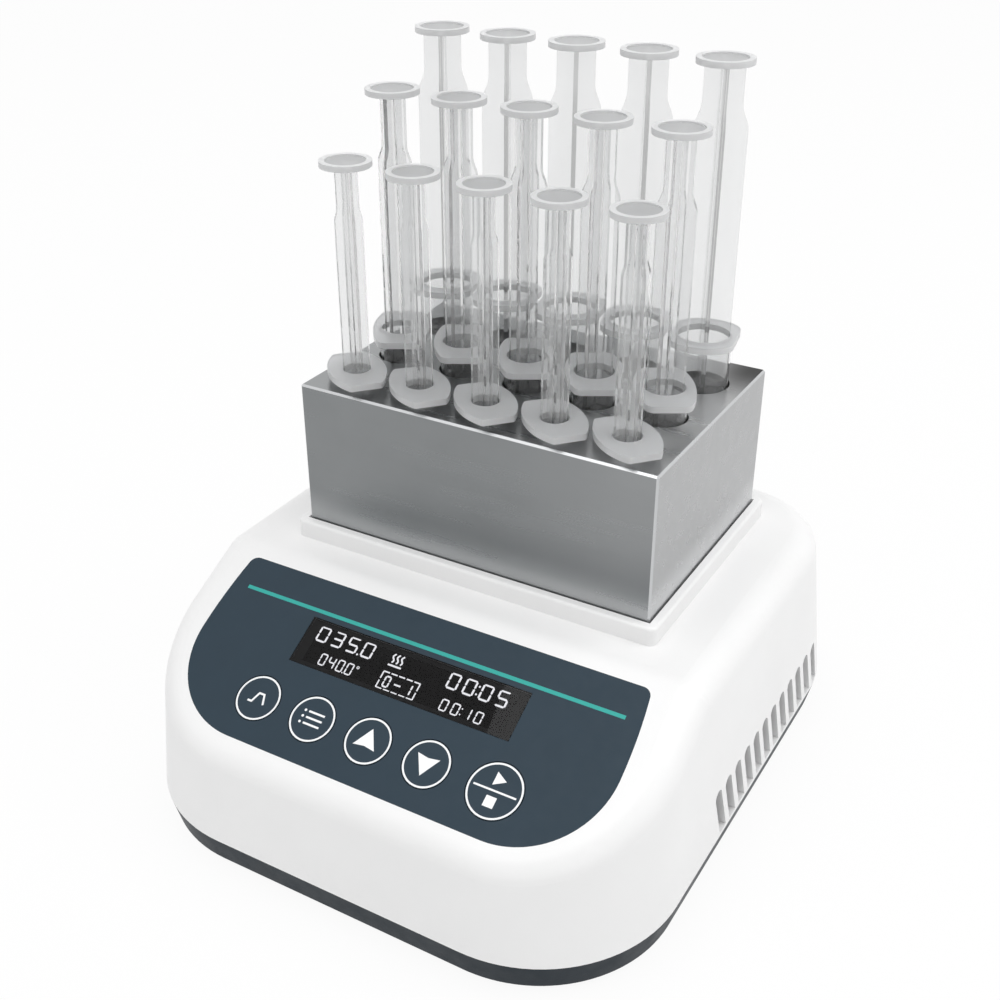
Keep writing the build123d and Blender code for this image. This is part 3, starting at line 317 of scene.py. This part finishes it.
def block_metal():
    """Satin machined aluminium, with painted light: painted chamfer highlights, ends and top painted paler than
    the front, a painted dark reflection at the top's far corner and a painted reflection of the collar near the
    foot.
    """
    f = Finish("block_aluminium", BLOCK_FRONT, 0.28, 1.0)
    f.tint(f.noise(0.02, detail=5), shade(BLOCK_FRONT, 0.94))
    low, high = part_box("heating_block")
    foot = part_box("upper_housing")[1].z
    x, y, z = f.axis("X"), f.axis("Y"), f.axis("Z")
    side = f.math("ABSOLUTE", f.axis("X", "Normal"))
    upward = f.axis("Z", "Normal")

    # painted light: paler towards the right, and on the ends and sides, as if lit from the right
    color = f.blend(f.ramp(x, 0.0, high.x, 0.0, 0.3), f.spots, BLOCK_PAINTED_SIDE_LIGHT)
    color = f.blend(f.ramp(side, 0.5, 0.9), color, BLOCK_PAINTED_SIDE_LIGHT)

    # painted light: the top paler, more so towards the right
    top = f.ramp(upward, 0.5, 0.9)
    color = f.blend(f.times(top, f.ramp(x, 0.0, high.x * 0.8, 0.2, 1.0)), color, BLOCK_PAINTED_TOP_LIGHT)
    # painted dark reflection on the top's back right corner
    far_right = f.ramp(x, high.x * 0.5, high.x * 0.95)
    far_back = f.ramp(y, (low.y + high.y) / 2, high.y * 0.95)
    color = f.blend(f.times(top, f.times(far_right, far_back)), color, BLOCK_PAINTED_DARK_REFLECTION)

    # painted reflection of the white collar: a pale band just above the foot, stronger on the sides
    painted_reflection_band = f.times(f.ramp(z, foot, foot + PAINTED_REFLECTION_H, 1.0, 0.0), f.ramp(z, low.z, foot))
    color = f.blend(f.times(painted_reflection_band, f.ramp(side, 0.5, 0.9, 0.22, 0.42)), color, BLOCK_PAINTED_COLLAR_REFLECTION)

    # painted highlights on the chamfered edges
    tilt = f.math("ABSOLUTE", upward)
    edge = f.times(f.ramp(tilt, 0.3, 0.35), f.ramp(tilt, 0.85, 0.9, 1.0, 0.0))
    outside = f.ramp(f.math("ABSOLUTE", x), high.x - CHAMFER_HIGHLIGHT_REACH, high.x - CHAMFER_HIGHLIGHT_FULL)
    turned = f.times(f.ramp(side, 0.3, 0.35), f.ramp(side, 0.93, 0.96, 1.0, 0.0))
    f.blend(f.math("MAXIMUM", edge, f.times(outside, turned)), color, BLOCK_PAINTED_CHAMFER_HIGHLIGHT)

    f.rough(f.noise(0.004, (12, 1, 1)), 0.26, 0.32)
    return f.bump(f.noise(0.0008, (12, 1, 1), detail=1), 0.000001, 0.05)


def overlay_film(name, color):
    f = Finish(name, color, 0.46, Specular_IOR_Level=0.25)
    f.tint(f.noise(0.01), shade(color, 0.94))
    f.rough(f.noise(0.003), 0.42, 0.50)
    return f.bump(f.noise(0.00015, detail=2), 0.00001, 0.4)


def smoked_window():
    f = Finish("window_dark", (0.2, 0.2, 0.21), 0.01,
               Transmission_Weight=1.0, IOR=1.25, Specular_IOR_Level=0.0)
    f.rough(f.noise(0.004), 0.004, 0.012)
    return f.bump(f.noise(0.02), 0.000001, 0.02)


def circuit_board():
    f = Finish("board_green", rgb(16, 92, 48), 0.35)
    f.tint(f.noise(0.0016, (1, 6, 1), detail=1), rgb(30, 120, 66))
    return f.bump(f.noise(0.0016, (1, 6, 1), detail=1), 0.00003, 0.5)


def felt():
    f = Finish("insulation_felt", rgb(214, 208, 190), 0.95, Sheen_Weight=0.3)
    f.tint(f.noise(0.002, detail=6), rgb(190, 182, 160))
    return f.bump(f.noise(0.0008, (3, 1, 1), detail=6), 0.0004, 0.8)


def heater_rubber():
    f = Finish("heater_silicone", rgb(168, 66, 34), 0.6)
    f.tint(f.noise(0.003, (8, 1, 1), detail=1), rgb(140, 52, 26))
    return f.bump(f.noise(0.003, (8, 1, 1), detail=1), 0.0001, 0.6)


def clear_plastic(name, frost_z, frost_color, rim_z, ior, clarity):
    """Clear moulded plastic, greyer where it is deep, frosted above frost_z, with a painted highlight on its outer
    edges and on the rim at rim_z.
    """
    f = Finish(name, CLEAR, 0.07, Transmission_Weight=1.0, IOR=ior)
    f.absorb(CLEAR_DEPTH_TONE, CLEAR_DENSITY)
    f.tint(f.noise(0.004, (1, 1, 4)), CLEAR_SPOTS)
    z = f.axis("Z")
    frost = f.ramp(z, frost_z - FROST_EDGE, frost_z + FROST_EDGE)
    # painted highlight on the side faces and the top rim
    side = f.ramp(f.math("ABSOLUTE", f.axis("Z", "Normal")), 0.3, 0.6, 1.0, 0.0)
    rim_highlight = f.math("MAXIMUM", side, f.ramp(z, rim_z - RIM_DEPTH, rim_z - RIM_DEPTH / 3))
    f.blend(frost, f.spots, f.blend(rim_highlight, frost_color, PAINTED_RIM_HIGHLIGHT))
    passed = f.math("SUBTRACT", clarity, f.times(frost, FROST_BODY))
    f.link(passed, f.shader.inputs["Transmission Weight"])
    grain = f.spread(f.noise(0.01), 0.015, 0.04)
    f.link(f.math("ADD", grain, f.times(frost, FROST_ROUGHNESS)), f.shader.inputs["Roughness"])
    return f.bump(f.noise(0.01, detail=1), 0.00002, 0.05)


def fuse_glass():
    f = Finish("fuse_glass", (0.9, 0.95, 0.95), 0.03, Transmission_Weight=1.0, IOR=1.5)
    f.rough(f.noise(0.002), 0.02, 0.06)
    return f.bump(f.noise(0.002), 0.00001, 0.2)


def ink(name, color, glow=0.0):
    """Screen print, with the thin uneven edge such ink has. glow is for lit display segments."""
    f = Finish(name, color, 0.5, Emission_Strength=glow, Emission_Color=(*color, 1.0))
    f.tint(f.noise(0.001), shade(color, 0.96))
    return f.bump(f.noise(0.0003), 0.000004, 0.4)


FINISHES = {
    "housing_white": housing_white,
    "base_slate": lambda: textured_plastic("base_slate", rgb(30, 40, 48), 0.45, specular=0.15),
    "foot_rubber": lambda: rubber("foot_rubber", rgb(24, 24, 25)),
    "screw_steel": lambda: metal("screw_steel", (0.5, 0.5, 0.52), 0.3, (1, 1, 1)),
    "block_aluminium": block_metal,
    "tray_aluminium": lambda: metal("tray_aluminium", (0.6, 0.6, 0.61), 0.45, (1, 1, 1), 0.0006, 0.00003),
    "probe_steel": lambda: metal("probe_steel", (0.55, 0.55, 0.56), 0.25, (1, 20, 1)),
    "heater_silicone": heater_rubber,
    "insulation_felt": felt,
    "shield_steel": lambda: metal("shield_steel", (0.6, 0.61, 0.63), 0.35, (2, 1, 1), 0.004, 0.00002),
    "cutout_body": lambda: textured_plastic("cutout_body", rgb(52, 40, 34), 0.4),
    "overlay_slate": lambda: overlay_film("overlay_slate", SLATE),
    "key_slate": lambda: overlay_film("key_slate", SLATE),
    "window_dark": smoked_window,
    "lcd_frame": lambda: textured_plastic("lcd_frame", rgb(18, 18, 19), 0.6, 0.002, 0.000002, 0.02),
    "board_green": circuit_board,
    "switch_black": lambda: textured_plastic("switch_black", BLACK, 0.4),
    "module_black": lambda: textured_plastic("module_black", BLACK, 0.6),
    "inlet_black": lambda: textured_plastic("inlet_black", BLACK, 0.38),
    "panel_black": lambda: textured_plastic("panel_black", rgb(38, 41, 44), 0.5),
    "pin_plated": lambda: metal("pin_plated", (0.70, 0.68, 0.62), 0.22, (1, 12, 1)),
    "rocker_black": lambda: textured_plastic("rocker_black", rgb(20, 20, 21), 0.2, 0.001, 0.000008),
    "fuse_glass": fuse_glass,
}


def row_of(node):
    """The row's letter in a name such as syringe_f1_barrel."""
    return node.split("_")[1][0]


def syringe_finish(node):
    """A syringe piece's frost begins at its own flange or thumb rest, so each row has its own finish."""
    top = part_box(node)[1].z
    if node.endswith("_barrel"):
        no_rim = top + FLANGE_T
        return clear_plastic("barrel_clear_" + row_of(node), top - FLANGE_T, FLANGE_FROST,
                             no_rim, BARREL_IOR, BARREL_CLARITY)
    return clear_plastic("plunger_clear_" + row_of(node), top - THUMB_T, THUMB_FROST,
                         top, PLUNGER_IOR, PLUNGER_CLARITY)


def dress_nodes():
    """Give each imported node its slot's finish."""
    made = {}
    for part in frame["record"]["subparts"]:
        node, slot = part["node"], part["material_slot"]
        syringe = node.startswith("syringe_")
        key = slot + row_of(node) if syringe else slot
        if key not in made:
            finish = syringe_finish(node) if syringe else FINISHES[slot]()
            made[key] = finish.mat
        mesh = nodes[node].data
        mesh.materials.clear()
        mesh.materials.append(made[key])


# ------------------------------------------------------------------ prints on the panel
def panel_matrix():
    """The panel's plane, from the window: x right, y up the slope, z out."""
    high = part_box("display_window")[1]
    s, c = math.sin(PANEL_TILT), math.cos(PANEL_TILT)
    return Matrix(((1, 0, 0, 0), (0, c, -s, high.y - WINDOW_T * s), (0, s, c, high.z), (0, 0, 0, 1)))


def circle(cx, cy, r, steps):
    turns = [2 * math.pi * i / steps for i in range(steps)]
    return [(cx + r * math.cos(a), cy + r * math.sin(a)) for a in turns]


def slab(bm, outline, z0, z1):
    """A flat plate with that outline, given anticlockwise."""
    low = [bm.verts.new((x, y, z0)) for x, y in outline]
    high = [bm.verts.new((x, y, z1)) for x, y in outline]
    bm.faces.new(high)
    bm.faces.new(low[::-1])
    for i, vert in enumerate(low):
        j = (i + 1) % len(low)
        bm.faces.new((vert, low[j], high[j], high[i]))


def ring(bm, outer, inner, z0, z1):
    """A flat plate between two outlines with as many points each."""
    loops = [[bm.verts.new((x, y, z)) for x, y in line] for line in (outer, inner) for z in (z0, z1)]
    out_low, out_high, in_low, in_high = loops
    for i in range(len(outer)):
        j = (i + 1) % len(outer)
        bm.faces.new((out_low[i], out_low[j], out_high[j], out_high[i]))
        bm.faces.new((in_low[j], in_low[i], in_high[i], in_high[j]))
        bm.faces.new((out_high[i], out_high[j], in_high[j], in_high[i]))
        bm.faces.new((out_low[j], out_low[i], in_low[i], in_low[j]))


def stroke(points, width):
    """Outline of a line of that width through the points, with mitred corners."""
    left, right = [], []
    pts = [Vector(p) for p in points]
    for i, p in enumerate(pts):
        before = (p - pts[i - 1]).normalized() if i else (pts[1] - p).normalized()
        after = (pts[i + 1] - p).normalized() if i + 1 < len(pts) else before
        along = (before + after).normalized()
        side = Vector((-along.y, along.x)) * (width / 2 / max(along.dot(after), 0.5))
        left.append(tuple(p + side))
        right.append(tuple(p - side))
    return right + left[::-1]


def print_piece(name, body, material, place, draw):
    """One printed layer: draw fills a mesh in the plane's coordinates, which then rides on the body."""
    bm = bmesh.new()
    draw(bm)
    bmesh.ops.recalc_face_normals(bm, faces=bm.faces)
    mesh = bpy.data.meshes.new(name)
    bm.transform(place)
    bm.to_mesh(mesh)
    bm.free()
    mesh.materials.append(material)
    piece = bpy.data.objects.new(name, mesh)
    bpy.context.scene.collection.objects.link(piece)
    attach(piece, body)


def box_outline(x0, y0, x1, y1):
    return [(x0, y0), (x1, y0), (x1, y1), (x0, y1)]


LIT = {"0": "abcdef", "1": "bc", "3": "abcdg", "4": "bcfg", "5": "acdfg"}


def digit_bars(char, x, top, w, h, t):
    """Outlines of one seven-segment digit's lit bars, with pointed ends."""
    gap = 0.07 * t
    x0, x1 = x + t / 2, x + w - t / 2
    y0, y1, y2 = top - h + t / 2, top - h / 2, top - t / 2
    ends = {"a": (x0, y2, x1, y2), "b": (x1, y1, x1, y2), "c": (x1, y0, x1, y1), "d": (x0, y0, x1, y0),
            "e": (x0, y0, x0, y1), "f": (x0, y1, x0, y2), "g": (x0, y1, x1, y1)}
    bars = []
    for name in LIT[char]:
        a, b = Vector(ends[name][:2]), Vector(ends[name][2:])
        along = (b - a).normalized()
        side = Vector((-along.y, along.x)) * (t / 2)
        a, b = a + along * gap, b - along * gap
        point = along * (t / 2)
        corners = (a, a + point - side, b - point - side, b, b - point + side, a + point + side)
        bars.append([tuple(p) for p in corners])
    return bars


def number(bm, text, layout, z0, z1):
    """A row of digits. A dot or colon sits between its neighbours."""
    x, top, w, h, pitch, t = layout
    column = 0
    for char in text:
        middle = x + (column - 1) * pitch + (pitch + w) / 2
        if char in ".:":
            heights = [top - h + t / 2] if char == "." else [top - 0.28 * h, top - 0.76 * h]
            for y in heights:
                slab(bm, circle(middle, y, 0.52 * t, 16), z0, z1)
            continue
        for bar in digit_bars(char, x + column * pitch, top, w, h, t):
            slab(bm, bar, z0, z1)
        column += 1


def dashes(start, end, length, gap):
    """Start and end points of dashes along a straight line."""
    a, b = Vector(start), Vector(end)
    total = (b - a).length
    along = (b - a).normalized()
    count = max(1, round((total + gap) / (length + gap)))
    each = (total - gap * (count - 1)) / count
    return [(a + along * i * (each + gap), a + along * (i * (each + gap) + each)) for i in range(count)]


def window_mask(bm):
    """Black border printed on the window's back, over the ledge that carries it."""
    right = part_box("display_window")[1].x - MASK_INSET
    bottom = -WINDOW_H + MASK_INSET
    outer = box_outline(-right, bottom, right, -MASK_INSET)
    inner = box_outline(-right + MASK_SIDE_W, bottom + MASK_END_H, right - MASK_SIDE_W, -MASK_END_H)
    ring(bm, outer, inner, *MASK_Z)


def display_digits(bm):
    number(bm, "035.0", BIG_LEFT, *LIT_Z)
    number(bm, "040.0", SMALL_LEFT, *LIT_Z)
    number(bm, "00:05", BIG_RIGHT, *LIT_Z)
    number(bm, "00:10", SMALL_RIGHT, *LIT_Z)
    number(bm, "01", STEP_DIGIT, *LIT_Z)
    left, right, bottom, top = STEP_BOX
    corners = [(left, top), (right, top), (right, bottom), (left, bottom)]
    for start, end in zip(corners, corners[1:] + corners[:1]):
        for p, q in dashes(start, end, DASH, DASH_GAP):
            slab(bm, stroke([p, q], STEP_BOX_LINE), *LIT_Z)
    hyphen_y = STEP_DIGIT[1] - STEP_DIGIT[3] / 2
    slab(bm, stroke([(x, hyphen_y) for x in HYPHEN], SIGN_LINE), *LIT_Z)
    cx, cy = HEAT_ICON
    rise = [k / WAVE_STEPS for k in range(WAVE_STEPS + 1)]
    for x in (cx - WAVE_PITCH, cx, cx + WAVE_PITCH):
        wave = [(x + WAVE_W * math.sin(2.2 * math.pi * k), cy + (k - 0.5) * WAVE_H) for k in rise]
        slab(bm, stroke(wave, SIGN_LINE), *LIT_Z)
    bar = [(cx - HEAT_BAR_HALF_W, HEAT_BAR_Y), (cx + HEAT_BAR_HALF_W, HEAT_BAR_Y)]
    slab(bm, stroke(bar, HEAT_BAR_LINE), *LIT_Z)
    outer, inner = (circle(*DEGREE_AT, r, 20) for r in DEGREE_RADII)
    ring(bm, outer, inner, *LIT_Z)


def key_centre(name):
    """A key's middle and face radius in the panel's plane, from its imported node."""
    low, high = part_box(name)
    return (low.x + high.x) / 2, (high.x - low.x) / 2 - KEY_FLANGE


def arrow(bm, x, y, s):
    """A notched triangle that points up, or down where s is -1."""
    outline = [(x - ARROW_W / 2, y - s * ARROW_H / 2), (x, y - s * (ARROW_H / 2 - ARROW_NOTCH)),
               (x + ARROW_W / 2, y - s * ARROW_H / 2), (x, y + s * ARROW_H / 2)]
    slab(bm, outline, 0, INK_T)


def program_icon(bm, x, y):
    """A temperature profile: hold, climb, hold, fall."""
    slab(bm, stroke([(x + a * MM, y + b * MM) for a, b in PROFILE], ICON_LINE), 0, INK_T)


def menu_icon(bm, x, y):
    left, right = MENU_BAR
    for i in (-1, 0, 1):
        row = y + i * MENU_PITCH
        slab(bm, stroke([(x + left, row), (x + right, row)], ICON_LINE), 0, INK_T)
        slab(bm, circle(x + MENU_DOT_X, row, MENU_DOT_R, 16), 0, INK_T)


def start_stop_icon(bm, x, y):
    """A triangle over a square, with a line between."""
    slab(bm, stroke([(x - DIVIDER_W / 2, y), (x + DIVIDER_W / 2, y)], DIVIDER_LINE), 0, INK_T)
    back, tip = START_X
    up, down = y + START_Y, y + STOP_Y
    slab(bm, [(x + back, up - START_HALF_H), (x + tip, up), (x + back, up + START_HALF_H)], 0, INK_T)
    slab(bm, box_outline(x - STOP_HALF, down - STOP_HALF, x + STOP_HALF, down + STOP_HALF), 0, INK_T)


KEY_ICONS = {
    "key_program": program_icon,
    "key_menu": menu_icon,
    "key_up": lambda bm, x, y: arrow(bm, x - ARROW_LEFT, y + ARROW_UP_RISE, 1),
    "key_down": lambda bm, x, y: arrow(bm, x - ARROW_LEFT, y - ARROW_DOWN_DROP, -1),
    "key_start_stop": start_stop_icon,
}


def panel_prints():
    place = panel_matrix()
    white = ink("ink_white", rgb(246, 247, 248)).mat
    teal = ink("ink_teal", rgb(32, 164, 155)).mat
    black = ink("ink_black", rgb(14, 14, 15)).mat
    lit = ink("display_lit", (1.0, 1.0, 1.0), glow=DISPLAY_GLOW).mat
    left, right, y, t = TEAL_LINE
    print_piece("teal_line", "base", teal, place,
                lambda bm: slab(bm, box_outline(left, y - t / 2, right, y + t / 2), 0, INK_T))
    print_piece("display_digits", "base", lit,
                place @ Matrix.Translation((*DISPLAY_SHIFT, 0)), display_digits)
    print_piece("window_mask", "base", black, place, window_mask)
    for name, icon in KEY_ICONS.items():
        x, r = key_centre(name)
        outer = r - RING_INSET

        def face(bm, x=x, outer=outer, icon=icon):
            inner = outer - RING_LINE
            ring(bm, circle(x, -KEY_DROP, outer, 72), circle(x, -KEY_DROP, inner, 72), 0, INK_T)
            icon(bm, x, -KEY_DROP)

        print_piece(name + "_print", name, white, place, face)


# ------------------------------------------------------------------ prints on the power switch
def off_mark(bm):
    outer, inner = (circle(0, 0, r, 32) for r in OFF_RADII)
    ring(bm, outer, inner, 0, INK_T)


def on_mark(bm):
    w, h = ON_HALF
    slab(bm, box_outline(-w, -h, w, h), 0, INK_T)


def rocker_marks():
    """A ring on the half that is pressed for off, and a bar on the other."""
    hinge = next(j for j in frame["joints"] if j["child"] == "rocker")
    white = ink("ink_switch", rgb(232, 232, 230)).mat
    slope = math.atan2(ROCKER_PROUD - ROCKER_DIP, ROCKER_HALF_H)
    for name, side, draw in (("switch_off_mark", 1, off_mark), ("switch_on_mark", -1, on_mark)):
        turn = ROCKER_TILT - side * slope
        normal = Vector((0, math.cos(turn), math.sin(turn)))
        up = Vector((0, -math.sin(turn), math.cos(turn)))
        right = up.cross(normal)
        along = Vector((0, (ROCKER_DIP + ROCKER_PROUD) / 2, side * ROCKER_HALF_H / 2))
        centre = Vector(hinge["pos_m"]) + Matrix.Rotation(ROCKER_TILT, 3, "X") @ along
        place = Matrix.Translation(centre) @ Matrix((right, up, normal)).transposed().to_4x4()
        print_piece(name, "rocker", white, place, draw)


# ------------------------------------------------------------------ studio
def seen_ray(tree):
    """1 for rays that are seen, reflected or let through, and 0 for those that only carry light."""
    path = tree.nodes.new("ShaderNodeLightPath")
    seen = path.outputs["Is Camera Ray"]
    for kind in ("Is Glossy Ray", "Is Transmission Ray"):
        either = tree.nodes.new("ShaderNodeMath")
        either.operation = "MAXIMUM"
        tree.links.new(seen, either.inputs[0])
        tree.links.new(path.outputs[kind], either.inputs[1])
        seen = either.outputs[0]
    return seen


def pale_floor():
    """White floor that keeps a faint shadow."""
    size = FLOOR_SIZE
    corners = [(-size, -size, 0), (size, -size, 0), (size, size, 0), (-size, size, 0)]
    mesh = bpy.data.meshes.new("floor")
    mesh.from_pydata(corners, [], [(0, 1, 2, 3)])
    floor = bpy.data.objects.new("floor", mesh)
    bpy.context.scene.collection.objects.link(floor)
    mat = bpy.data.materials.new("floor_white")
    mat.use_nodes = True
    tree = mat.node_tree
    tree.nodes.clear()
    share = tree.nodes.new("ShaderNodeMath")
    share.operation = "MULTIPLY"
    share.inputs[1].default_value = FLOOR_GLOW_SHARE
    diffuse = tree.nodes.new("ShaderNodeBsdfDiffuse")
    diffuse.inputs["Color"].default_value = (FLOOR_GREY, FLOOR_GREY, FLOOR_GREY, 1)
    glow = tree.nodes.new("ShaderNodeEmission")
    glow.inputs["Color"].default_value = (1, 1, 1, 1)
    glow.inputs["Strength"].default_value = 1.0
    mix = tree.nodes.new("ShaderNodeMixShader")
    out = tree.nodes.new("ShaderNodeOutputMaterial")
    tree.links.new(seen_ray(tree), share.inputs[0])
    tree.links.new(share.outputs[0], mix.inputs["Fac"])
    tree.links.new(diffuse.outputs[0], mix.inputs[1])
    tree.links.new(glow.outputs[0], mix.inputs[2])
    tree.links.new(mix.outputs[0], out.inputs["Surface"])
    mesh.materials.append(mat)


def sky():
    """Even pale light; rays that are seen, reflected or let through meet white."""
    world = bpy.data.worlds.new("studio")
    bpy.context.scene.world = world
    world.use_nodes = True
    tree = world.node_tree
    back = tree.nodes["Background"]
    back.inputs["Color"].default_value = (1, 1, 1, 1)
    level = tree.nodes.new("ShaderNodeMapRange")
    level.inputs["To Min"].default_value = SKY_LIGHT
    level.inputs["To Max"].default_value = SKY_SEEN
    tree.links.new(seen_ray(tree), level.inputs["Value"])
    tree.links.new(level.outputs["Result"], back.inputs["Strength"])


def lamp(name, at, size, power):
    data = bpy.data.lights.new(name, "AREA")
    data.shape = "RECTANGLE"
    data.size, data.size_y = size, size
    data.energy = power
    light = bpy.data.objects.new(name, data)
    bpy.context.scene.collection.objects.link(light)
    light.location = at
    light.rotation_euler = (Vector(LAMP_AIM) - Vector(at)).to_track_quat("-Z", "Y").to_euler()


def lamps():
    lamp("key_right", (0.9, 0.35, 1.2), 0.9, 5.3)
    lamp("top_soft", (0.0, -0.35, 1.5), 1.2, 7.8)


def camera():
    data = bpy.data.cameras.new("camera")
    data.lens = CAMERA_LENS
    data.sensor_width = 36.0
    data.clip_start, data.clip_end = 0.01, 50.0
    cam = bpy.data.objects.new("camera", data)
    bpy.context.scene.collection.objects.link(cam)
    cam.location = CAMERA_AT
    a, e = CAMERA_AZIMUTH, CAMERA_ELEVATION
    back = Vector((math.sin(a) * math.cos(e), -math.cos(a) * math.cos(e), math.sin(e)))
    cam.rotation_euler = (-back).to_track_quat("-Z", "Y").to_euler()
    bpy.context.scene.camera = cam


bpy.context.scene.view_settings.view_transform = "Standard"
camera()
sky()
pale_floor()
lamps()
dress_nodes()
panel_prints()
rocker_marks()
